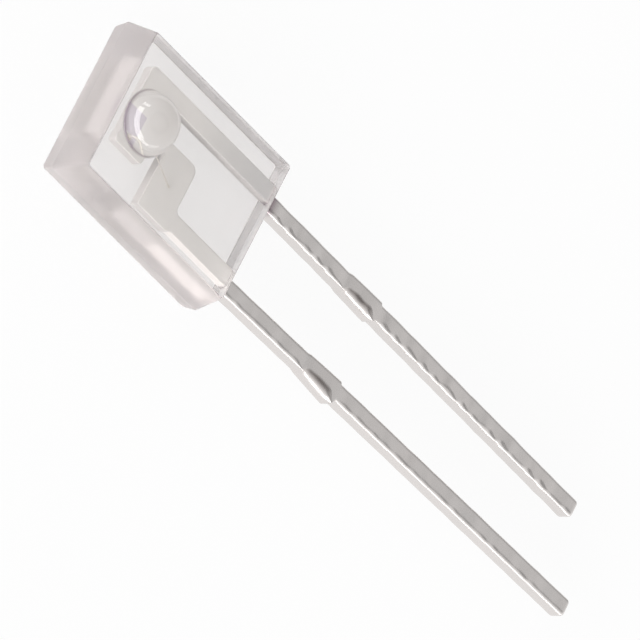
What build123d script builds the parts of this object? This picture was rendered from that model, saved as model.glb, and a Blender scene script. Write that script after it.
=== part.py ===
from build123d import *
from math import atan2, degrees, tan, radians
import os

# A side-looking phototransistor: two square leads stamped from one sheet, a silicon chip on
# the right one's paddle, a gold wire to the left one's post, and a clear block moulded
# round them with its lens in one piece.
# It lies on its back: +Z is the way the lens looks, the leads run toward -Y, and the origin
# is the middle of the flat back face. All sizes are in millimetres.

# Moulded block. Both halves of the mould taper away from the parting plane.
body_width = 4.45
body_height = 6.02
front_depth = 0.99
back_depth = 0.45
front_draft_angle = 11.6
back_draft_angle = 9.1
side_edge_radius = 0.10
rim_radius = 0.05

# Lens, a ball sunk slightly into the front face
lens_radius = 0.82
lens_sink = 0.03
lens_below_top = 1.26
lens_foot_radius = 0.04

# Leads outside the block. Molten tin has rounded their edges.
lead_pitch = 2.54
lead_width = 0.50
lead_thickness = 0.50
lead_middle_z = 0.52
collector_reach = 13.25
emitter_reach = 14.45
emitter_toe_in = 1.48
lead_edge_radius = 0.12
lead_tip_radius = 0.11
lead_root = 0.25

# Stubs left where the bar between the leads was cut away
stub_distance = 3.50
stub_length = 1.37
stub_stand = 0.06
long_stub_stand = 0.13
stub_near_stand = 0.03
stub_lead_in = 0.12
stub_lead_out = 0.05
stub_edge_radius = 0.08

# Die paddle, measured from the lens axis
paddle_left = 0.78
paddle_above = 0.425
paddle_below = 0.675
paddle_corner_radius = 0.20
paddle_web_radius = 0.28

# Bond post, a flag on top of the emitter strip
post_gap = 0.44
post_height = 1.19
post_right = 0.30
post_overhang = 0.08
post_corner_radius = 0.24
post_web_radius = 0.14

# Chip and the adhesive under it
chip_side = 0.56
chip_thickness = 0.20
adhesive_thickness = 0.03
adhesive_margin = 0.04

# Bond wire
wire_diameter = 0.03
wire_rise = 0.15
wire_bend_radius = 0.10
ball_diameter = 0.09
ball_height = 0.03
stitch_diameter = 0.11
stitch_height = 0.02
pad_left = 0.10
pad_below = 0.14

# Places worked out from the sizes above
front_z = back_depth + front_depth
base_y = -body_height / 2
lens_y = body_height / 2 - lens_below_top
metal_top_z = lead_middle_z + lead_thickness / 2
strip_outer_x = lead_pitch / 2 + lead_width / 2
paddle_bottom_y = lens_y - paddle_below
paddle_top_y = lens_y + paddle_above
post_top_y = paddle_bottom_y - post_gap
post_bottom_y = post_top_y - post_height
post_left_x = -strip_outer_x - post_overhang
chip_bottom_z = metal_top_z + adhesive_thickness
chip_top_z = chip_bottom_z + chip_thickness


def body_section(inset, z):
    """Outline of the block at height z, drawn in by inset on every side."""
    width = body_width - 2 * inset
    height = body_height - 2 * inset
    return Pos(0, 0, z) * RectangleRounded(width, height, side_edge_radius)


def mould_half(depth, draft_angle, end_z):
    """One tapered half of the block, from the parting plane to its outer face."""
    inset = depth * tan(radians(draft_angle))
    return loft([body_section(0, back_depth), body_section(inset, end_z)], ruled=True)


def solid_body():
    """The block and its lens without the space that the metal takes."""
    block = mould_half(front_depth, front_draft_angle, front_z)
    block += mould_half(back_depth, back_draft_angle, 0)
    outer_faces = [block.faces().sort_by(Axis.Z)[0], block.faces().sort_by(Axis.Z)[-1]]
    rims = [edge for face in outer_faces for edge in face.edges()]
    block = fillet(rims, rim_radius)
    block += Pos(0, lens_y, front_z - lens_sink) * Sphere(lens_radius)
    foot = block.edges().filter_by(GeomType.CIRCLE).filter_by(
        lambda edge: edge.radius > lens_radius / 2
    )
    return fillet(foot, lens_foot_radius)


def plate(outline):
    """Sheet metal with the given outline, as thick as the leads and level with them."""
    return Pos(0, 0, metal_top_z - lead_thickness) * extrude(outline, lead_thickness)


def rectangle_between(left, bottom, right, top):
    return Pos((left + right) / 2, (bottom + top) / 2) * Rectangle(right - left, top - bottom)


def corner_near(outline, x, y):
    """The outline's corner that lies nearest to a point."""
    return outline.vertices().sort_by_distance((x, y, 0))[0]


def stub_outline(side, stand):
    """Half of a cut bar stub, seen from the front, for side -1 (left) or 1 (right).

    Its cut face stands out by stub_near_stand near the block and by stand at its far end.
    """
    near_y = -stub_distance
    far_y = near_y - stub_length
    points = [
        (0, near_y),
        (side * lead_width / 2, near_y),
        (side * (lead_width / 2 + stub_near_stand), near_y - stub_lead_in),
        (side * (lead_width / 2 + stand), far_y + stub_lead_out),
        (side * lead_width / 2, far_y),
        (0, far_y),
    ]
    return make_face(Polyline(points, close=True))


def stub(side, stand):
    """One cut stub, with the two long edges of its cut face rounded by the tin."""
    block = extrude(stub_outline(side, stand), lead_thickness / 2, both=True)
    cut_edges = block.edges().filter_by(
        lambda edge: abs(edge.center().X) > lead_width / 2 and edge.length > stub_length / 2
    )
    return fillet(cut_edges, stub_edge_radius)


def outer_lead(reach, left_stand):
    """A tinned lead whose axis is the Y axis and whose way out of the block is at y = 0."""
    section = Plane.XZ * RectangleRounded(lead_width, lead_thickness, lead_edge_radius)
    bar = Pos(0, lead_root, 0) * extrude(section, reach + lead_root)
    tip = bar.faces().sort_by(Axis.Y)[0]
    bar = fillet(tip.edges(), lead_tip_radius)
    return bar + stub(-1, left_stand) + stub(1, stub_stand)


def collector_lead():
    """The right lead, its strip up the side of the block and the paddle under the lens."""
    strip_inner_x = strip_outer_x - lead_width
    outline = rectangle_between(strip_inner_x, base_y + lead_root / 2, strip_outer_x, paddle_top_y)
    outline += rectangle_between(-paddle_left, paddle_bottom_y, strip_outer_x, paddle_top_y)
    outline = fillet(corner_near(outline, strip_inner_x, paddle_bottom_y), paddle_web_radius)
    outline = fillet(corner_near(outline, strip_outer_x, paddle_top_y), paddle_corner_radius)
    outline = fillet(
        [
            corner_near(outline, -paddle_left, paddle_top_y),
            corner_near(outline, -paddle_left, paddle_bottom_y),
        ],
        paddle_corner_radius / 2,
    )
    outer = outer_lead(collector_reach, stub_stand)
    return plate(outline) + Pos(lead_pitch / 2, base_y, lead_middle_z) * outer


def emitter_lead():
    """The left lead, toed in toward the right one, with its strip and the bond post."""
    strip_inner_x = lead_width - strip_outer_x
    outline = rectangle_between(-strip_outer_x, base_y + lead_root / 2, strip_inner_x, post_top_y)
    outline += rectangle_between(post_left_x, post_bottom_y, post_right, post_top_y)
    outline = fillet(corner_near(outline, strip_inner_x, post_bottom_y), post_web_radius)
    outline = fillet(
        [
            corner_near(outline, post_right, post_top_y),
            corner_near(outline, post_right, post_bottom_y),
        ],
        post_corner_radius,
    )
    outer = Rot(0, 0, emitter_toe_in) * outer_lead(emitter_reach, long_stub_stand)
    return plate(outline) + Pos(-lead_pitch / 2, base_y, lead_middle_z) * outer


def die_attach():
    """Adhesive under the chip, squeezed out a little all round."""
    foot = Rectangle(chip_side + 2 * adhesive_margin, chip_side + 2 * adhesive_margin)
    top = Pos(0, 0, adhesive_thickness) * Rectangle(chip_side, chip_side)
    return Pos(0, lens_y, metal_top_z) * loft([foot, top], ruled=True)


def transistor_chip():
    block = extrude(Rectangle(chip_side, chip_side), chip_thickness)
    return Pos(0, lens_y, chip_bottom_z) * block


def bond_wire():
    """Gold wire from a ball on the chip's pad, up and over to a stitch on the post."""
    post_middle = Vector((post_left_x + post_right) / 2, (post_top_y + post_bottom_y) / 2)
    pad = Vector(-pad_left, lens_y - pad_below, chip_top_z)
    start = pad + Vector(0, 0, ball_height / 2)
    bend = pad + Vector(0, 0, ball_height + wire_rise)
    landing = Vector(post_middle.X, post_middle.Y, metal_top_z + stitch_height)
    path = FilletPolyline(start, bend, landing, radius=wire_bend_radius)
    section = Plane(start, z_dir=(0, 0, 1)) * Circle(wire_diameter / 2)
    wire = sweep(section, path)
    ball = Pos(pad) * extrude(Circle(ball_diameter / 2), ball_height)
    stitch_place = Pos(landing.X, landing.Y, metal_top_z)
    heading = degrees(atan2(landing.Y - pad.Y, landing.X - pad.X))
    stitch_shape = Ellipse(stitch_diameter / 2, stitch_diameter / 3)
    stitch = stitch_place * Rot(0, 0, heading) * extrude(stitch_shape, stitch_height + wire_diameter / 2)
    return wire + ball + stitch


def epoxy_body(buried):
    """The clear block, with room exactly for the pieces that it is moulded round."""
    block = solid_body()
    for piece in buried:
        block -= piece
    return block


def main():
    os.makedirs("parts", exist_ok=True)
    pieces = {
        "collector_lead": collector_lead(),
        "emitter_lead": emitter_lead(),
        "die_attach": die_attach(),
        "transistor_chip": transistor_chip(),
        "bond_wire": bond_wire(),
    }
    pieces["epoxy_body"] = epoxy_body(list(pieces.values()))
    for name, piece in pieces.items():
        export_step(piece, f"parts/{name}.step")
        print(name, round(piece.volume, 4), "mm3")


main()
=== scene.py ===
import bpy
import numpy as np
from mathutils import Matrix, Vector


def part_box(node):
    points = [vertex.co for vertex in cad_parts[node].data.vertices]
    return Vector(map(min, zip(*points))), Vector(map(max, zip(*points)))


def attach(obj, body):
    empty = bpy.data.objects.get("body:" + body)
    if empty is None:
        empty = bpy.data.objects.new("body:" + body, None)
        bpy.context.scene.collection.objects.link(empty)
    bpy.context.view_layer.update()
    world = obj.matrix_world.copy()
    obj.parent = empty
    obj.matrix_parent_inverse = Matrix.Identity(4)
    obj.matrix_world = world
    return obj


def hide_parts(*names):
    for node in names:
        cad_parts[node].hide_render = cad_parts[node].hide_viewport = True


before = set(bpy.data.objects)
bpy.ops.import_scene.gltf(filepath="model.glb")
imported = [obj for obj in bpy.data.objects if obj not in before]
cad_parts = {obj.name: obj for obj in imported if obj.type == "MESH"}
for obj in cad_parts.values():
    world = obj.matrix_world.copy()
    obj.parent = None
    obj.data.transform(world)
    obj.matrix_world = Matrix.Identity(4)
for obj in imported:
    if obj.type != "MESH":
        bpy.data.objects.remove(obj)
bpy.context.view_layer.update()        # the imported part: bodies, nodes and record
print("frame loaded with", len(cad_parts), "nodes")

mm = 0.001
blockLow, blockHigh = (np.array(corner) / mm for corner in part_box("epoxy_body"))
baseY = blockLow[1]      # the face that the leads come out of, in mm


# Mesh and node helpers

# makes one smooth piece from points in mm and faces as index arrays, and hangs it in the frame
def putMesh(name, points, quads, tris, material, replacedNode):
    corners = np.concatenate([quads.ravel(), tris.ravel()]).astype(np.int32)
    starts = np.concatenate([4 * np.arange(len(quads)), 4 * len(quads) + 3 * np.arange(len(tris))])
    mesh = bpy.data.meshes.new(name)
    mesh.vertices.add(len(points))
    mesh.vertices.foreach_set("co", (points * mm).astype(np.float32).ravel())
    mesh.loops.add(len(corners))
    mesh.loops.foreach_set("vertex_index", corners)
    mesh.polygons.add(len(starts))
    mesh.polygons.foreach_set("loop_start", starts.astype(np.int32))
    mesh.polygons.foreach_set("use_smooth", np.ones(len(starts), bool))
    mesh.update(calc_edges=True)
    piece = bpy.data.objects.new(name, mesh)
    bpy.context.scene.collection.objects.link(piece)
    mesh.materials.append(material)
    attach(piece, "root")
    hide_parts(replacedNode)
    return piece


# faces of a closed skin: rings of points one after the other, then the two poles at its ends
def skinFaces(rings, around):
    here = np.arange(around)
    after = (here + 1) % around
    ringStart = np.arange(rings - 1)[:, None] * around
    nextStart, lastStart = ringStart + around, (rings - 1) * around
    firstPole, lastPole = rings * around, rings * around + 1
    quads = np.stack([ringStart + here, ringStart + after, nextStart + after, nextStart + here], -1)
    tris = np.concatenate([
        np.stack([after, here, np.full(around, firstPole)], -1),
        np.stack([lastStart + here, lastStart + after, np.full(around, lastPole)], -1),
    ])
    return quads.reshape(-1, 4), tris


# gives every point of a piece a colour, for its material to read
def putColours(piece, name, colours):
    layer = piece.data.color_attributes.new(name, "FLOAT_COLOR", "POINT")
    layer.data.foreach_set("color", colours.astype(np.float32).ravel())


# grows evenly from 0 where the value is start to 1 where it is full
def rise(value, start, full):
    return np.clip((value - start) / (full - start), 0, 1)


def newMaterial(name):
    material = bpy.data.materials.new(name)
    material.use_nodes = True
    material.node_tree.nodes.clear()
    return material


# adds a node: an input given a socket is linked, any other value is set on it, and in3 is input number 3
def addNode(material, kind, settings=None, **inputs):
    node = material.node_tree.nodes.new(kind)
    for key, value in (settings or {}).items():
        setattr(node, key, value)
    for key, value in inputs.items():
        socket = node.inputs[int(key[2:])] if key.startswith("in") else node.inputs[key.replace("_", " ")]
        if isinstance(value, bpy.types.NodeSocket):
            material.node_tree.links.new(value, socket)
        else:
            socket.default_value = value
    return node


# red, green and blue of the colours that putColours gave the piece
def readColours(material, name):
    colour = addNode(material, "ShaderNodeVertexColor", dict(layer_name=name)).outputs["Color"]
    return tuple(addNode(material, "ShaderNodeSeparateColor", Color=colour).outputs)


# cloud noise on object coordinates, with lumps about size mm across
def noise(material, size, detail=2.0, roughness=0.5):
    place = addNode(material, "ShaderNodeTexCoord").outputs["Object"]
    return addNode(material, "ShaderNodeTexNoise", Vector=place, Scale=1 / (size * mm),
                   Detail=detail, Roughness=roughness).outputs["Fac"]


# a number that follows amount from 0 to 1, between low and high
def between(material, amount, low, high):
    return addNode(material, "ShaderNodeMapRange", Value=amount,
                   in1=0.0, in2=1.0, in3=low, in4=high).outputs["Result"]


def calculate(material, operation, first, second):
    return addNode(material, "ShaderNodeMath", dict(operation=operation), in0=first, in1=second).outputs[0]


def mixNumber(material, amount, first, second):
    mix = addNode(material, "ShaderNodeMix", dict(data_type="FLOAT"), in0=amount, in2=first, in3=second)
    return mix.outputs[0]


# the Mix node takes its two colours at inputs 6 and 7, and gives the mixed one at output 2
def mixColour(material, amount, first, second):
    mix = addNode(material, "ShaderNodeMix", dict(data_type="RGBA"), in0=amount)
    for socket, colour in ((mix.inputs[6], first), (mix.inputs[7], second)):
        if isinstance(colour, bpy.types.NodeSocket):
            material.node_tree.links.new(colour, socket)
        else:
            socket.default_value = (*colour, 1)
    return mix.outputs[2]


def bump(material, height, strength, distance):
    return addNode(material, "ShaderNodeBump", Height=height, Strength=strength,
                   Distance=distance * mm).outputs["Normal"]


def finishMaterial(material, shader, volume=None):
    output = addNode(material, "ShaderNodeOutputMaterial", Surface=shader)
    if volume:
        material.node_tree.links.new(volume, output.inputs["Volume"])
    return material


# Finishes. Sizes are in mm, and two colours or numbers are the ends of a variation.

clearLook = dict(
    # the second and third colours on the next line are painted shade: the drafted walls drawn darker, and a
    # dark ring at the lens's foot, the ball's edge and the front rim
    faceTint=(0.925, 0.922, 0.914), wallShadeTint=(0.765, 0.73, 0.73), paintedShadeTint=(0.26, 0.21, 0.24),
    index=1.54, clearShare=0.86,
    polished=0.015, drafted=0.40, draftedVaries=0.15,       # roughness of face and lens, and of the walls
    scuffSize=0.12, flowSize=1.6, flowBump=0.05, flowHeight=0.02,
    absorb=60.0, lightLeft=(0.41, 0.30, 0.31),        # what the way through the block takes and leaves
    lampLight=(0.70, 0.68, 0.68),       # what the lamps send through it
)


# clear epoxy with a breath of pink: it takes light away along the way through and lets the lamps in.
# The lens and the front face are polished, and the drafted walls are as matte as the mould's sides.
def clearEpoxy():
    look = clearLook
    material = newMaterial("clear_epoxy_faint_pink")
    # red: the drafted walls, which are rougher and also get a painted shade; green: painted shade at the
    # lens's foot, ball edge and front rim
    drafted, paintedShade = readColours(material, "surface")[:2]
    tintAndWallShade = mixColour(material, drafted, look["faceTint"], look["wallShadeTint"])
    flow = noise(material, look["flowSize"], 3)
    scuff = noise(material, look["scuffSize"], 4, 0.6)
    wallRough = between(material, flow, look["drafted"] * (1 - look["draftedVaries"]),
                        look["drafted"] * (1 + look["draftedVaries"]))
    faceRough = between(material, scuff, 0.0, 2 * look["polished"])
    glass = addNode(material, "ShaderNodeBsdfPrincipled",
                    # the base colour carries painted shade: darker on the walls, at the lens's foot and ball
                    # edge, and along the front rim
                    Base_Color=mixColour(material, paintedShade, tintAndWallShade, look["paintedShadeTint"]),
                    Roughness=mixNumber(material, drafted, faceRough, wallRough),
                    Transmission_Weight=look["clearShare"], IOR=look["index"],
                    Normal=bump(material, flow, look["flowBump"], look["flowHeight"]))
    lamps = addNode(material, "ShaderNodeBsdfTransparent", Color=(*look["lampLight"], 1))
    isShadow = addNode(material, "ShaderNodeLightPath").outputs["Is Shadow Ray"]
    both = addNode(material, "ShaderNodeMixShader", in0=isShadow, in1=glass.outputs[0], in2=lamps.outputs[0])
    depth = addNode(material, "ShaderNodeVolumeAbsorption", Color=(*look["lightLeft"], 1),
                    Density=look["absorb"])
    return finishMaterial(material, both.outputs[0], depth.outputs[0])


metalLook = dict(
    tin=((0.77, 0.725, 0.705), (0.70, 0.675, 0.66)), tinRough=(0.19, 0.31),
    # the first colour on the next line is painted shade beside the block, the second a painted dark
    # reflection along the stub's rolled edge
    paintedRootShade=(0.235, 0.15, 0.19), cut=(0.26, 0.22, 0.205),
    bare=((0.80, 0.78, 0.75), (0.74, 0.725, 0.695)), bareRough=0.5, bareMetal=0.15,
    # the last colour on the next line is the plated back, and also a painted highlight on the emitter
    # strip's left side
    greyAtBase=(0.50, 0.495, 0.49), stamped=(0.60, 0.58, 0.565), plated=(0.88, 0.85, 0.82),
    cloudSize=0.9, grainSize=0.06, grainBump=0.10, grainHeight=0.01,
)


# tin outside the block, bare sheet inside it, and the warm colour of the sheet's stamped edges.
# The piece's own colours say where: red inside the block, green on a stamped edge there and on painted shade
# beside it outside, blue on the plated back inside, on a painted highlight along the emitter strip's left
# side there, and on a painted dark reflection along the stub's rolled edge outside.
def leadMetal():
    look = metalLook
    material = newMaterial("tinned_lead_metal")
    inside, stamped, platedAndPaintedLight = readColours(material, "coat")
    cloud = noise(material, look["cloudSize"], 4, 0.6)
    grain = noise(material, look["grainSize"], 3, 0.6)
    # a grey that grows inside toward the block's base
    greyTowardBase = addNode(material, "ShaderNodeAttribute", dict(attribute_name="greyTowardBase")).outputs["Fac"]
    tin = mixColour(material, cloud, *look["tin"])
    # on the tin, green is painted shade beside the block
    tin = mixColour(material, stamped, tin, look["paintedRootShade"])
    # on the tin, blue is a painted dark reflection along the stub's rolled edge
    tin = mixColour(material, platedAndPaintedLight, tin, look["cut"])
    bare = mixColour(material, cloud, *look["bare"])
    bare = mixColour(material, greyTowardBase, bare, look["greyAtBase"])
    bare = mixColour(material, stamped, bare, look["stamped"])
    # inside, blue is the plated back and a painted highlight on the emitter strip's left side
    bare = mixColour(material, platedAndPaintedLight, bare, look["plated"])
    tinRough = between(material, cloud, *look["tinRough"])
    metal = addNode(material, "ShaderNodeBsdfPrincipled",
                    Base_Color=mixColour(material, inside, tin, bare),
                    Metallic=between(material, inside, 1.0, look["bareMetal"]),
                    Roughness=mixNumber(material, inside, tinRough, look["bareRough"]),
                    Normal=bump(material, grain, look["grainBump"], look["grainHeight"]))
    return finishMaterial(material, metal.outputs[0])


dieLook = dict(film=((0.53, 0.475, 0.54), (0.61, 0.555, 0.62)), filmSize=0.25, metal=0.6, rough=0.42,
               pad=(0.80, 0.80, 0.80), padX=-0.10, padY=-0.14, padHalf=0.065)       # from the die's middle


# violet-grey silicon with the bright aluminium pad that the wire is bonded to: the pad is where the larger
# of the distances from its middle along x and along y is less than half its side
def siliconDie():
    look = dieLook
    material = newMaterial("silicon_die")
    place = addNode(material, "ShaderNodeTexCoord").outputs["Object"]
    low, high = (np.array(corner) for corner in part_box("transistor_chip"))
    padMiddle = (low + high) / 2 + np.array([look["padX"], look["padY"], 0]) * mm
    moved = addNode(material, "ShaderNodeMapping", Vector=place, Location=tuple(-padMiddle)).outputs[0]
    axes = addNode(material, "ShaderNodeSeparateXYZ", Vector=moved).outputs
    alongX, alongY = (calculate(material, "ABSOLUTE", axes[number], 0.0) for number in (0, 1))
    farther = calculate(material, "MAXIMUM", alongX, alongY)
    onPad = calculate(material, "LESS_THAN", farther, look["padHalf"] * mm)
    film = mixColour(material, noise(material, look["filmSize"], 2), *look["film"])
    die = addNode(material, "ShaderNodeBsdfPrincipled",
                  Base_Color=mixColour(material, onPad, film, look["pad"]),
                  Metallic=look["metal"], Roughness=look["rough"])
    return finishMaterial(material, die.outputs[0])


pasteLook = dict(flakes=((0.62, 0.61, 0.58), (0.42, 0.41, 0.39)), flakeSize=0.02,
                 flakeBump=0.4, flakeHeight=0.004, metal=0.5, rough=0.55)


def silverPaste():
    look = pasteLook
    material = newMaterial("silver_filled_adhesive")
    flakes = noise(material, look["flakeSize"], 3, 0.7)
    paste = addNode(material, "ShaderNodeBsdfPrincipled",
                    Base_Color=mixColour(material, flakes, *look["flakes"]),
                    Metallic=look["metal"], Roughness=look["rough"],
                    Normal=bump(material, flakes, look["flakeBump"], look["flakeHeight"]))
    return finishMaterial(material, paste.outputs[0])


wireLook = dict(gold=((0.76, 0.72, 0.65), (0.68, 0.64, 0.58)), drawnSize=0.03, metal=0.8, rough=(0.2, 0.4))


def goldWire():
    look = wireLook
    material = newMaterial("gold_wire")
    drawn = noise(material, look["drawnSize"], 2)
    gold = addNode(material, "ShaderNodeBsdfPrincipled",
                   Base_Color=mixColour(material, drawn, *look["gold"]),
                   Metallic=look["metal"], Roughness=between(material, drawn, *look["rough"]))
    return finishMaterial(material, gold.outputs[0])


# The moulded block with its lens

block = dict(
    partingZ=0.45, frontZ=1.44, frontDraft=11.6, backDraft=9.1,       # mm and degrees
    sideEdge=0.10, rim=0.05,
    lensRadius=0.82, lensSink=0.03, lensBelowTop=1.26, lensFoot=0.04,
    edgePoints=8, rimPoints=7, ballRings=48, footRings=6, anglePoints=176, fineStep=0.01,
    faceShares=(0.006, 0.1, 0.3, 0.5, 0.7, 0.9, 0.994), backRings=4,       # the rings of the flat faces
    backMatteAndShade=0.4, rimShade=0.45,       # how far the back face is like the walls, in roughness and in their painted shade, and how dark the painted shade on the front rim is
    # how dark the painted shade on the ball's last rings and its foot is
    ballShade=(0.08, 0.18, 0.32, 0.5, 0.7, 0.9), footShade=(1.0, 0.2),
)


# rounded rectangles from arrays of sizes: each side has points at the given shares of it, and each corner
# is an arc, its middle + radius x (cosine, sine) of the angle
def roundedLoop(halfWidth, halfHeight, radius, shares):
    quarter = np.linspace(0, np.pi / 2, block["edgePoints"])
    arcs = []
    for turn, (signX, signY) in enumerate(((1, 1), (-1, 1), (-1, -1), (1, -1))):
        angle = quarter + turn * np.pi / 2
        way = np.stack([np.cos(angle), np.sin(angle)], -1)
        middle = np.stack([signX * (halfWidth - radius), signY * (halfHeight - radius)], -1)
        arcs.append(middle[:, None, :] + radius[:, None, None] * way)
    loop = []
    for turn in range(4):
        before, after = arcs[turn - 1], arcs[turn]
        share = shares[turn][None, :, None]
        loop += [before[:, -1:] * (1 - share) + after[:, :1] * share, after]
    return np.concatenate(loop, 1)


# where the points of the four sides lie: lines go out from the lens at even angles, and each share is the
# place where such a line crosses the side. One more point lies close to each corner.
def sideShares(halfWidth, halfHeight, radius, lensY):
    noShares = [np.zeros(0)] * 4
    corners = roundedLoop(*(np.array([size]) for size in (halfWidth, halfHeight, radius)), noShares)[0]
    corners = corners.reshape(4, -1, 2) - np.array([0, lensY])
    shares = []
    for turn in range(4):
        first, last = corners[turn - 1][-1], corners[turn][0]
        start, end = np.arctan2(first[1], first[0]), np.arctan2(last[1], last[0])
        end += 2 * np.pi * (end < start)
        count = max(3, int(round((end - start) / (2 * np.pi) * block["anglePoints"])))
        angle = np.linspace(start, end, count + 2)[1:-1]
        way, run = np.stack([np.cos(angle), np.sin(angle)]), last - first
        share = -(first[0] * way[1] - first[1] * way[0]) / (run[0] * way[1] - run[1] * way[0])
        close = block["fineStep"] / np.hypot(*run)
        shares.append(np.concatenate([[close], share, [1 - close]]))
    return shares


# profile of a rounded rim, an arc from the flat face over to the draft: how far each ring lies in from the
# parting outline (inset at the face - rim x cosine), its height, and its corner radius
def rimProfile(faceZ, depth, draft, up):
    rim = block["rim"]
    inset = depth * np.tan(draft) + rim * (1 - np.sin(draft)) / np.cos(draft)
    angle = np.linspace(np.pi / 2, draft, block["rimPoints"])
    inward = rim * np.cos(angle) - inset
    return inward, faceZ - up * rim * (1 - np.sin(angle)), block["sideEdge"] + inward - inward[-1]


# profile of the lens, distance from its axis and height: a ball (radius x sine, radius x cosine of the angle
# from the axis), then its foot, a small hollow arc that meets both the ball and the front face
def lensProfile(ballZ):
    ball, foot = block["lensRadius"], block["lensFoot"]
    footZ = block["frontZ"] + foot
    footRadius = np.sqrt((ball + foot) ** 2 - (footZ - ballZ) ** 2)
    meet = np.arctan2(footRadius, footZ - ballZ)
    down = np.linspace(0, meet, block["ballRings"] + 1)[1:]
    sweep = np.linspace(3 * np.pi / 2 - meet, 3 * np.pi / 2, block["footRings"] + 1)[1:]
    return (np.concatenate([ball * np.sin(down), footRadius + foot * np.cos(sweep)]),
            np.concatenate([ballZ + ball * np.cos(down), footZ + foot * np.sin(sweep)]))


# one closed skin. Along it, from the top of the lens: the ball, its foot, the front face from a circle to a
# rounded rectangle, the rim, the front draft down to the parting line, the back draft, the back rim and
# the back face. A draft lies in by its distance from the parting line x the tangent of its angle.
def clearBlock():
    halfWidth, halfHeight = (blockHigh[:2] - blockLow[:2]) / 2
    lensY = blockHigh[1] - block["lensBelowTop"]
    frontDraft, backDraft = np.radians(block["frontDraft"]), np.radians(block["backDraft"])
    partingZ, frontZ, fine = block["partingZ"], block["frontZ"], block["fineStep"]
    rimIn, rimZ, rimRadius = rimProfile(frontZ, frontZ - partingZ, frontDraft, 1)
    backIn, backZ, backRadius = rimProfile(0.0, partingZ, backDraft, -1)
    wallZ = np.array([rimZ[-1] - fine, (rimZ[-1] + partingZ) / 2, partingZ + fine, partingZ,
                      partingZ - fine, (backZ[-1] + partingZ) / 2, backZ[-1] + fine])
    wallIn = -abs(wallZ - partingZ) * np.tan(np.where(wallZ > partingZ, frontDraft, backDraft))
    inward = np.concatenate([rimIn, wallIn, backIn[::-1]])
    height = np.concatenate([rimZ, wallZ, backZ[::-1]])
    radius = np.concatenate([rimRadius, np.full(len(wallZ), block["sideEdge"]), backRadius[::-1]])
    shares = sideShares(halfWidth + rimIn[0], halfHeight + rimIn[0], rimRadius[0], lensY)
    flat = roundedLoop(halfWidth + inward, halfHeight + inward, radius, shares)
    walls = np.concatenate([flat, np.broadcast_to(height[:, None, None], flat.shape[:2] + (1,))], -1)

    ballZ = frontZ - block["lensSink"]
    lensOut, lensZ = lensProfile(ballZ)
    towards = walls[0, :, :2] - np.array([0, lensY])
    towards /= np.linalg.norm(towards, axis=1)[:, None]
    lens = np.concatenate([lensOut[:, None, None] * towards + np.array([0, lensY]),
                           np.broadcast_to(lensZ[:, None, None], (len(lensZ), len(towards), 1))], -1)

    # the front face runs from the foot's circle to the rim, and the back face from its rim inward
    share = np.array(block["faceShares"])[:, None, None]
    backShare, backMiddle = share[:block["backRings"]], np.zeros(3)
    face = lens[-1] * (1 - share) + walls[0] * share
    backFace = walls[-1] * (1 - backShare) + backMiddle * backShare
    rings = np.concatenate([lens, face, walls, backFace])
    poles = np.array([[0, lensY, ballZ + block["lensRadius"]], backMiddle])
    quads, tris = skinFaces(*rings.shape[:2])
    points = np.concatenate([rings.reshape(-1, 3), poles])
    piece = putMesh("moulded_clear_block", points, quads[:, ::-1], tris[:, ::-1], clearEpoxy(),
                    "epoxy_body")

    # what the finish reads. Red: the drafted walls, rougher and with the walls' painted shade.
    # Green: painted shade, dark on the ball's last rings, at the lens's foot and along the front rim.
    matteAndShade, paintedShade = np.zeros(len(rings)), np.zeros(len(rings))
    rimStart = len(lens) + len(face)
    wallStart = rimStart + len(rimIn)
    backStart = wallStart + len(wallIn)
    alongRim = np.linspace(0, 1, len(rimIn))
    # the walls are matte and take the painted shade; the rim grows into both
    matteAndShade[rimStart:wallStart] = np.sqrt(alongRim)
    matteAndShade[wallStart:backStart] = 1
    matteAndShade[backStart:] = block["backMatteAndShade"]
    matteAndShade[backStart:backStart + len(backIn)] = np.linspace(1, block["backMatteAndShade"], len(backIn))
    footStart = block["ballRings"]
    # painted shade on the ball's last rings, its foot and the front rim
    paintedShade[footStart - len(block["ballShade"]):footStart] = block["ballShade"]
    paintedShade[footStart:len(lens)] = np.linspace(*block["footShade"], block["footRings"])
    paintedShade[rimStart:wallStart] = block["rimShade"] * np.sin(np.pi * alongRim)
    surface = np.ones((len(points), 4))
    surface[:, 0] = np.concatenate([np.repeat(matteAndShade, rings.shape[1]), [0, block["backMatteAndShade"]]])
    surface[:, 1] = np.concatenate([np.repeat(paintedShade, rings.shape[1]), [0, 0]])
    putColours(piece, "surface", surface)


clearBlock()
print("clear block made")


# The two leads, each stamped from one sheet. Sizes are in mm, angles in degrees.

# edge, insideEdge, tipEdge: the rounding along the lead, inside the block and round the tip
sheet = dict(pitch=2.54, width=0.50, thickness=0.50, middleZ=0.52,
             edge=0.12, insideEdge=0.035, tipEdge=0.11, leastEdge=0.02,
             spacing=0.055, cornerPoints=7, acrossFace=7, acrossSide=3, tipPoints=8,
             innerCap=0.03, tipCap=0.1)       # how far the closing rings of both ends are drawn in
# web: the hollow corner where the strip begins.
# fan: the height of the steps in which the sections spread there, so that none crosses another
paddle = dict(top=2.175, bottom=1.075, left=-0.78, corner=0.10, topCorner=0.20, web=0.28, fan=0.15)
post = dict(top=0.635, height=1.19, right=0.30, overhang=0.08, corner=0.24, web=0.14, fan=0.07)
# the cut stub, and the bite that the shears left along its front left edge
barStub = dict(start=3.50, length=1.37, leadIn=0.12, leadOut=0.05, nearStand=0.03, foot=0.004,
               soften=0.02, bend=0.012,
               biteStart=3.48, biteEnd=4.80, biteDeep=0.08, pinchEdge=0.025, pinchLength=0.13)
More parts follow.
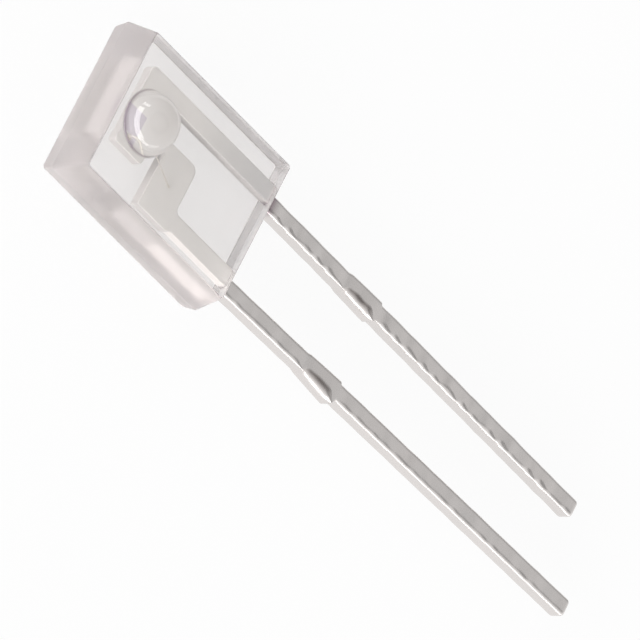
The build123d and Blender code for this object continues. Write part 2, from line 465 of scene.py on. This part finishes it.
# leftStand and rightStand: how far the stub stands out of either side. wave and edgeWave: how unevenly the
# tin lies on the faces and along the front left edge. Then how dark and how long the painted shade beside
# the block is, how grey the strip is inside toward the base from greyFrom down, and the y below which its
# left side inside carries a painted highlight (-9: nowhere).
rightLead = dict(reach=13.25, toeIn=0.0, leftStand=0.06, rightStand=0.06, wave=0.007, edgeWave=0.034,
                 paintedRootShade=0.95, paintedRootShadeLength=0.42, greyTowardBase=1.0, greyFrom=0.2, highlightBelow=-9.0, seed=3)
leftLead = dict(reach=14.45, toeIn=1.48, leftStand=0.13, rightStand=0.06, wave=0.004, edgeWave=0.010,
                paintedRootShade=0.45, paintedRootShadeLength=0.22, greyTowardBase=0.0, greyFrom=0.9, highlightBelow=-0.6, seed=8)
# waves on the faces and along the front left edge: length in mm and share of each. Those on the faces turn
# round the lead by swing, and their sum is divided by span and sunk by sink. calmBase and calmTip: how far
# from the block and the tip the tin lies smoother. calmStub: how much smoother it lies on the stub.
tinCoat = dict(waves=((4.3, 0.5), (2.1, 0.5), (1.25, 1.0), (0.83, 0.7), (0.52, 0.35), (0.33, 0.12)),
               swing=(0.4, 1.6), span=2.2, sink=0.6,
               edgeWaves=((1.9, 0.35), (0.83, 0.55), (0.56, 0.8), (0.41, 0.4)),
               calmBase=0.3, calmTip=0.4, calmStub=0.7)
# where each finish begins and is full, by how much of a face's way is up or to the left (on the left side a
# painted highlight), how the painted shade beside the block fades, and where on the rolled edge the painted
# dark reflection lies
finishes = dict(platedSide=(0.375, 1.0), platedBack=(0.5, 1.0), stampedEdge=(8 / 13, 3 / 13),
                paintedRootShadePower=4, darkBandAngle=70, darkBandWidth=12, darkBandPower=1.5)


# points of a straight line, without its last
def line(x0, y0, x1, y1, count):
    share = np.arange(count)[:, None] / count
    return np.array([x0, y0]) * (1 - share) + np.array([x1, y1]) * share


# points of an arc from one angle to another in degrees, without its last
def arc(x, y, radius, start, end, count):
    angle = np.radians(start + (end - start) * np.arange(count) / count)
    return np.array([x, y]) + radius * np.stack([np.cos(angle), np.sin(angle)], -1)


# left and right edges of the die paddle and its strip, from the paddle's top down to the base
def paddleOutline():
    top, bottom, left, corner = paddle["top"], paddle["bottom"], paddle["left"], paddle["corner"]
    topCorner, web, fan = paddle["topCorner"], paddle["web"], paddle["fan"]
    outer = (sheet["pitch"] + sheet["width"]) / 2
    inner = outer - sheet["width"]
    leftEdge = np.concatenate([
        arc(left + corner, top - corner, corner, 90, 180, 6),
        line(left, top - corner, left, bottom + corner, 6),
        arc(left + corner, bottom + corner, corner, 180, 270, 6),
        line(left + corner, bottom, inner - web, bottom, 8),
        arc(inner - web, bottom - web, web, 90, 0, 8),
        line(inner, bottom - web, inner, baseY, 24),
    ])
    rightEdge = np.concatenate([
        arc(outer - topCorner, top - topCorner, topCorner, 90, 0, 6),
        line(outer, top - topCorner, outer, bottom + 3 * fan, 6),
        line(outer, bottom + 3 * fan, outer, bottom + 2 * fan, 6),
        line(outer, bottom + 2 * fan, outer, bottom + sheet["insideEdge"], 8),
        line(outer, bottom + sheet["insideEdge"], outer, bottom - web, 8),
        line(outer, bottom - web, outer, baseY, 24),
    ])
    return leftEdge, rightEdge


# left and right edges of the bond post and its strip, from the post's top down to the base
def postOutline():
    top, right, corner, web, fan = post["top"], post["right"], post["corner"], post["web"], post["fan"]
    outer = -(sheet["pitch"] + sheet["width"]) / 2
    inner, left, bottom = outer + sheet["width"], outer - post["overhang"], top - post["height"]
    leftEdge = np.concatenate([
        line(left, top, left, top - corner, 8),
        line(left, top - corner, left, bottom + corner, 6),
        line(left, bottom + corner, left, bottom + 3 * fan, 8),
        line(left, bottom + 3 * fan, left, bottom + fan, 8),
        line(left, bottom + fan, outer, bottom - web, 6),
        line(outer, bottom - web, outer, baseY, 20),
    ])
    rightEdge = np.concatenate([
        arc(right - corner, top - corner, corner, 90, 0, 8),
        line(right, top - corner, right, bottom + corner, 6),
        arc(right - corner, bottom + corner, corner, 0, -90, 8),
        line(right - corner, bottom, (right + inner) / 2, bottom, 4),
        line((right + inner) / 2, bottom, inner + web, bottom, 4),
        arc(inner + web, bottom - web, web, 90, 180, 6),
        line(inner, bottom - web, inner, baseY, 20),
    ])
    return leftEdge, rightEdge


# where the stub's outline bends, as distances from the block
def stubBends():
    start, end = barStub["start"], barStub["start"] + barStub["length"]
    return np.array([start, start + barStub["leadIn"], end - barStub["leadOut"], end])


# distances of the outer lead's sections from the block: even steps, close ones at the stub's bends, and
# round the tip's edge reach - tipEdge x (1 - sine)
def sectionPlaces(lead):
    roundFrom, bends = lead["reach"] - sheet["tipEdge"], stubBends()
    tip = roundFrom + sheet["tipEdge"] * np.sin(np.linspace(0, np.pi / 2, sheet["tipPoints"]))
    even = np.arange(0, roundFrom, sheet["spacing"])
    places = [even, bends, bends - barStub["bend"], bends + barStub["bend"], tip]
    return np.unique(np.round(np.concatenate(places), 4))


# how far the stub stands out of the lead's side: in steps near its ends, and evenly more between them
def stubStand(distance, stand):
    bends, foot = stubBends(), barStub["foot"]
    knots = np.concatenate([[bends[0] - barStub["soften"]], bends, [bends[-1] + barStub["soften"]]])
    return np.interp(distance, knots, [0, foot, barStub["nearStand"], stand, foot, 0])


# the shears rolled the front left edge of the stub over, in the outline of a lens with sharp ends: the
# bite's depth, which is the height of a half circle, and how close it is to one of those ends
def shearBite(distance):
    start, end = barStub["biteStart"], barStub["biteEnd"]
    span = (distance - start) / (end - start)
    toEnd = np.minimum(abs(distance - start), abs(distance - end))
    return np.sqrt(np.maximum(0, 1 - (2 * span - 1) ** 2)), np.exp(-(toEnd / barStub["pinchLength"]) ** 2)


# the way that an edge faces at each of its points, square to its run
def sideWay(path, side):
    run = np.gradient(path, axis=0)
    run /= np.linalg.norm(run, axis=1)[:, None]
    return side * np.stack([-run[:, 1], run[:, 0]], -1)


# a rounded corner of every section, and the way that it faces: from the edge it goes in by radius x
# (1 - cosine) and away from the face by radius x (1 - sine), where 0 degrees is straight out
def roundCorner(path, way, radius, faceZ, angles, up):
    angle, radius = np.radians(angles)[None, :, None], radius[:, None, None]
    flat = path[:, None, :] - way[:, None, :] * radius * (1 - np.cos(angle))
    level = faceZ[:, None, None] - up * radius * (1 - np.sin(angle))
    facing = np.concatenate([way[:, None, :] * np.cos(angle), up * np.sin(angle) + 0 * radius], -1)
    return np.concatenate([flat, level], -1), facing


# even points between two corners, with the way they face turning from the first's to the last's
def spanBetween(first, last, count):
    share = (np.arange(count) + 1)[None, :, None] / (count + 1)
    return tuple(start[:, -1:] * (1 - share) + end[:, :1] * share for start, end in zip(first, last))


# a sum of sine waves along the lead, each with its own start, that turn slowly round it
def waveSum(waves, distance, around, random):
    turn = np.linspace(0, 2 * np.pi, around, endpoint=False)[None, :]
    total = np.zeros((len(distance), around))
    for length, share in waves:
        phase, twist = random.uniform(0, 2 * np.pi, 2)
        swing = random.uniform(*tinCoat["swing"]) if around > 1 else 0
        turned = phase + np.sin(turn + twist) * swing
        total += share * np.sin(2 * np.pi * distance[:, None] / length + turned)
    return total


# a closed skin of cross sections, from the inner end of the sheet to the lead's tip. Each section spans
# from a point of the left edge to one of the right edge and has four rounded corners. Outside the
# block the tin lies unevenly on it.
def leadSkin(name, outline, lead, middleX, replacedNode, material):
    leftIn, rightIn = outline
    inner = len(leftIn)
    places, roundFrom = sectionPlaces(lead), lead["reach"] - sheet["tipEdge"]
    cut = np.maximum(0, places - roundFrom)
    tipIn = sheet["tipEdge"] - np.sqrt(np.maximum(0, sheet["tipEdge"] ** 2 - cut ** 2))
    toe = np.radians(lead["toeIn"])
    along, across = np.array([np.sin(toe), -np.cos(toe)]), np.array([np.cos(toe), np.sin(toe)])
    middle = np.array([middleX, baseY]) + places[:, None] * along
    leftReach, rightReach = (sheet["width"] / 2 - tipIn + stubStand(places, lead[side])
                             for side in ("leftStand", "rightStand"))
    left = np.concatenate([leftIn, middle - leftReach[:, None] * across])
    right = np.concatenate([rightIn, middle + rightReach[:, None] * across])
    leftWay, rightWay = sideWay(left, -1), sideWay(right, 1)
    leftWay[inner:], rightWay[inner:] = -across, across       # outside, every section is square to the lead
    isOut = np.concatenate([np.zeros(inner), np.ones(len(places))])
    distance = np.concatenate([np.full(inner, -1.0), places])
    inset = np.concatenate([np.zeros(inner), tipIn])
    random = np.random.default_rng(lead["seed"])

    # the rounding of the front left edge grows by the bite and by what the stub stands out
    edge = np.maximum(np.where(isOut > 0, sheet["edge"], sheet["insideEdge"]) - inset, sheet["leastEdge"])
    bite, pinch = shearBite(distance)
    frontLeft = edge + bite * barStub["biteDeep"] + stubStand(distance, lead["leftStand"])
    frontLeft = frontLeft * (1 - pinch) + barStub["pinchEdge"] * pinch
    ends = rise(distance, 0, tinCoat["calmBase"]) * rise(roundFrom - distance, 0, tinCoat["calmTip"])
    calm = ends * (1 - tinCoat["calmStub"] * bite ** 2)
    beads = waveSum(tinCoat["edgeWaves"], distance, 1, random)[:, 0]
    frontLeft += lead["edgeWave"] * calm * (1 - pinch) * beads

    half = sheet["thickness"] / 2 - inset
    low, high = sheet["middleZ"] - half, sheet["middleZ"] + half
    quarter = np.linspace(0, 90, sheet["cornerPoints"])
    lowRight = roundCorner(right, rightWay, edge, low, quarter[::-1], -1)
    highRight = roundCorner(right, rightWay, edge, high, quarter, 1)
    highLeft = roundCorner(left, leftWay, frontLeft, high, quarter[::-1], 1)
    lowLeft = roundCorner(left, leftWay, edge, low, quarter, -1)
    spans = [lowRight, spanBetween(lowRight, highRight, sheet["acrossSide"]), highRight,
             spanBetween(highRight, highLeft, sheet["acrossFace"]), highLeft,
             spanBetween(highLeft, lowLeft, sheet["acrossSide"]), lowLeft,
             spanBetween(lowLeft, lowRight, sheet["acrossFace"])]
    points, facing = (np.concatenate(stretches, 1) for stretches in zip(*spans))
    around = points.shape[1]
    waves = waveSum(tinCoat["waves"], distance, around, random) / tinCoat["span"] - tinCoat["sink"]
    points = points + facing * (lead["wave"] * calm[:, None] * waves)[:, :, None]

    # both ends are closed by a ring drawn in a little and a pole
    firstMiddle, lastMiddle = points[0].mean(0), points[-1].mean(0)
    firstRing = points[:1] * (1 - sheet["innerCap"]) + firstMiddle * sheet["innerCap"]
    lastRing = points[-1:] * (1 - sheet["tipCap"]) + lastMiddle * sheet["tipCap"]
    rings = np.concatenate([firstRing, points, lastRing])
    quads, tris = skinFaces(*rings.shape[:2])
    allPoints = np.concatenate([rings.reshape(-1, 3), [firstMiddle, lastMiddle]])
    piece = putMesh(name, allPoints, quads, tris, material, replacedNode)

    # what the finish reads. Red: inside the block. Green: stamped edge inside, painted shade beside the
    # block outside.
    # Blue: plated back inside, a painted highlight on the left side inside, a painted dark reflection on the
    # stub outside. The grey toward the base is a layer of its own.
    inside, faceUp = 1 - isOut[:, None], facing[:, :, 2]
    outLeft = (facing[:, :, :2] * leftWay[:, None, :]).sum(2)
    # a painted highlight on the left side inside, below the given y
    platedSide = rise(outLeft, *finishes["platedSide"]) * inside * (left[:, 1:] < lead["highlightBelow"])
    plated = rise(-faceUp, *finishes["platedBack"]) * inside + platedSide
    stamped = rise(abs(faceUp), *finishes["stampedEdge"]) * inside * (1 - platedSide)
    # painted shade on the lead beside the block, fading away from it
    paintedRootShade = lead["paintedRootShade"] * np.exp(-(distance / lead["paintedRootShadeLength"]) ** finishes["paintedRootShadePower"]) * isOut
    # a painted dark reflection on the stub's rolled edge, where the bite is
    fromDarkBand = np.degrees(np.arctan2(faceUp, outLeft)) - finishes["darkBandAngle"]
    paintedDarkBand = np.exp(-(fromDarkBand / finishes["darkBandWidth"]) ** 2) * (bite ** finishes["darkBandPower"])[:, None]
    coat = np.stack([inside + 0 * stamped, stamped + paintedRootShade[:, None], plated + paintedDarkBand,
                     np.ones_like(stamped)], -1)
    innerEnd, tipEnd = np.array([[1.0, 1.0, 0.0, 1.0]]), np.array([[0.0, 0.0, 0.0, 1.0]])
    putColours(piece, "coat", np.concatenate([np.repeat(innerEnd, around, 0), coat.reshape(-1, 4),
                                              np.repeat(tipEnd, around, 0), innerEnd, tipEnd]))
    # greyer inside toward the base, from greyFrom down
    grey = lead["greyTowardBase"] * rise(left[:, 1], lead["greyFrom"], baseY) * (1 - isOut)
    grey = np.concatenate([np.zeros(around), np.repeat(grey, around), np.zeros(around + 2)])
    layer = piece.data.attributes.new("greyTowardBase", "FLOAT", "POINT")
    layer.data.foreach_set("value", grey.astype(np.float32))


metal = leadMetal()
leadSkin("collector_lead_metal", paddleOutline(), rightLead, sheet["pitch"] / 2, "collector_lead", metal)
leadSkin("emitter_lead_metal", postOutline(), leftLead, -sheet["pitch"] / 2, "emitter_lead", metal)
print("leads made")


# The small pieces inside keep their own solids

innerFinishes = dict(transistor_chip=siliconDie, die_attach=silverPaste, bond_wire=goldWire)
for nodeName, finish in innerFinishes.items():
    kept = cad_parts[nodeName]
    kept.data.materials.clear()
    kept.data.materials.append(finish())
print("inner pieces finished")


# Floor, light and camera. Sizes are in m, but the camera's in mm.

studio = dict(
    floorHalf=3.0, floorBelow=0.02 * mm, floorPaper=0.93, floorGlow=0.90,
    # how bright the room is at each height, as the sine of the angle above the floor
    sky=((0.0, 1.0), (0.50, 0.95), (0.64, 0.80), (0.77, 0.74), (0.82, 0.24), (0.88, 0.30), (1.0, 0.70)),
    darkCorner=(0.937, -0.341, 0.087), cornerEdge=0.62, cornerHeart=0.95, cornerDepth=0.42,
    # low light banks: turn about the part in degrees, their height angle, width, height and strength in W
    lowBanks=((82, 10, 0.62, 0.42, 5.0), (111, 10, 0.62, 0.42, 5.0), (140, 10, 0.62, 0.42, 5.0),
              (169, 10, 0.62, 0.42, 5.0), (198, 7, 0.62, 0.20, 1.8), (227, 8, 0.62, 0.22, 0.9),
              (52, 15, 0.20, 0.50, 1.5)),
    lowBankDistance=1.2,
    bounces=24, clearBounces=20, shadowBounces=16,
)
view = dict(target=(-1.31187, -4.64364, 2.88983), back=(-0.413866, 0.562728, 0.715578),
            up=(0.810198, 0.586105, 0.007681), distance=620.0, lens=1423.79, sensor=36.0,
            nearest=0.05, farthest=20.0)        # the last two in m


# white floor: what looks at it, directly or in gloss and glass, sees white with part of the shadow
def floorFinish():
    material = newMaterial("pale_floor")
    paper = addNode(material, "ShaderNodeBsdfDiffuse", Color=(*[studio["floorPaper"]] * 3, 1))
    glow = addNode(material, "ShaderNodeEmission", Color=(1, 1, 1, 1), Strength=1.0)
    path = addNode(material, "ShaderNodeLightPath").outputs
    seen = calculate(material, "MAXIMUM", path["Is Camera Ray"], path["Is Glossy Ray"])
    seen = calculate(material, "MAXIMUM", seen, path["Is Transmission Ray"])
    share = calculate(material, "MULTIPLY", seen, studio["floorGlow"])
    mix = addNode(material, "ShaderNodeMixShader", in0=share, in1=paper.outputs[0], in2=glow.outputs[0])
    return finishMaterial(material, mix.outputs[0])


def makeFloor():
    half, z = studio["floorHalf"], -studio["floorBelow"]
    corners = [(-half, -half, z), (half, -half, z), (half, half, z), (-half, half, z)]
    mesh = bpy.data.meshes.new("floor")
    mesh.from_pydata(corners, [], [(0, 1, 2, 3)])
    mesh.materials.append(floorFinish())
    floor = bpy.data.objects.new("floor", mesh)
    bpy.context.scene.collection.objects.link(floor)


# a plain white room, greyer in a ring overhead and in one corner: brightness = sky at that height x
# what the corner leaves, which falls from its edge to its heart (both as the cosine of the angle from it).
# The camera and what looks through the clear block see it white.
def makeSky():
    world = bpy.data.worlds.new("studio")
    bpy.context.scene.world = world
    world.use_nodes = True
    world.node_tree.nodes.clear()
    place = addNode(world, "ShaderNodeTexCoord").outputs["Generated"]
    axes = addNode(world, "ShaderNodeSeparateXYZ", Vector=place).outputs
    ramp = addNode(world, "ShaderNodeValToRGB", Fac=axes[2])
    ramp.color_ramp.interpolation = "LINEAR"
    heights, greys = zip(*studio["sky"])
    elements = ramp.color_ramp.elements
    elements[0].position, elements[1].position = heights[0], heights[-1]
    for height in heights[1:-1]:
        elements.new(height)
    for element, grey in zip(elements, greys):
        element.color = (grey, grey, grey, 1)
    towards = addNode(world, "ShaderNodeVectorMath", dict(operation="DOT_PRODUCT"),
                      in0=place, in1=studio["darkCorner"])
    corner = addNode(world, "ShaderNodeMapRange", Value=towards.outputs["Value"], in1=studio["cornerEdge"],
                     in2=studio["cornerHeart"], in3=1.0, in4=studio["cornerDepth"])
    dimmed = calculate(world, "MULTIPLY", ramp.outputs[0], corner.outputs[0])
    path = addNode(world, "ShaderNodeLightPath").outputs
    seen = calculate(world, "MAXIMUM", path["Is Camera Ray"], path["Is Transmission Ray"])
    background = addNode(world, "ShaderNodeBackground", Color=(1, 1, 1, 1),
                         Strength=mixNumber(world, seen, dimmed, 1.0))
    addNode(world, "ShaderNodeOutputWorld", Surface=background.outputs[0])


# a soft lamp that looks at the part from the given direction
def makeLamp(name, towards, distance, width, height, power):
    lamp = bpy.data.lights.new(name, "AREA")
    lamp.shape, lamp.size, lamp.size_y, lamp.energy = "RECTANGLE", width, height, power
    holder = bpy.data.objects.new(name, lamp)
    bpy.context.scene.collection.objects.link(holder)
    way = Vector(towards).normalized()
    holder.location = way * distance
    holder.rotation_euler = way.to_track_quat("Z", "Y").to_euler()
    holder.visible_transmission = False       # the camera doesn't see it through the clear block


def makeLowBanks():
    for number, (turn, above, width, height, power) in enumerate(studio["lowBanks"]):
        turn, above = np.radians(turn), np.radians(above)
        towards = (np.cos(above) * np.cos(turn), np.cos(above) * np.sin(turn), np.sin(above))
        makeLamp(f"low_bank_{number + 1}", towards, studio["lowBankDistance"], width, height, power)


# looks down on the part as the photograph does, rolled so that the leads run to the lower right
def makeCamera():
    back, up = Vector(view["back"]).normalized(), Vector(view["up"])
    right = up.cross(back).normalized()
    up = back.cross(right)
    camera = bpy.data.cameras.new("camera")
    camera.lens, camera.sensor_width = view["lens"], view["sensor"]
    camera.clip_start, camera.clip_end = view["nearest"], view["farthest"]
    holder = bpy.data.objects.new("camera", camera)
    bpy.context.scene.collection.objects.link(holder)
    place = (Vector(view["target"]) + back * view["distance"]) * mm
    turn = Matrix((right, up, back)).transposed().to_4x4()
    holder.matrix_world = Matrix.Translation(place) @ turn
    bpy.context.scene.camera = holder


makeFloor()
makeSky()
makeLowBanks()
makeCamera()
bpy.context.scene.view_settings.view_transform = "Standard"
bpy.context.scene.cycles.max_bounces = studio["bounces"]
bpy.context.scene.cycles.transmission_bounces = studio["clearBounces"]
bpy.context.scene.cycles.transparent_max_bounces = studio["shadowBounces"]
print("floor, light and camera set")
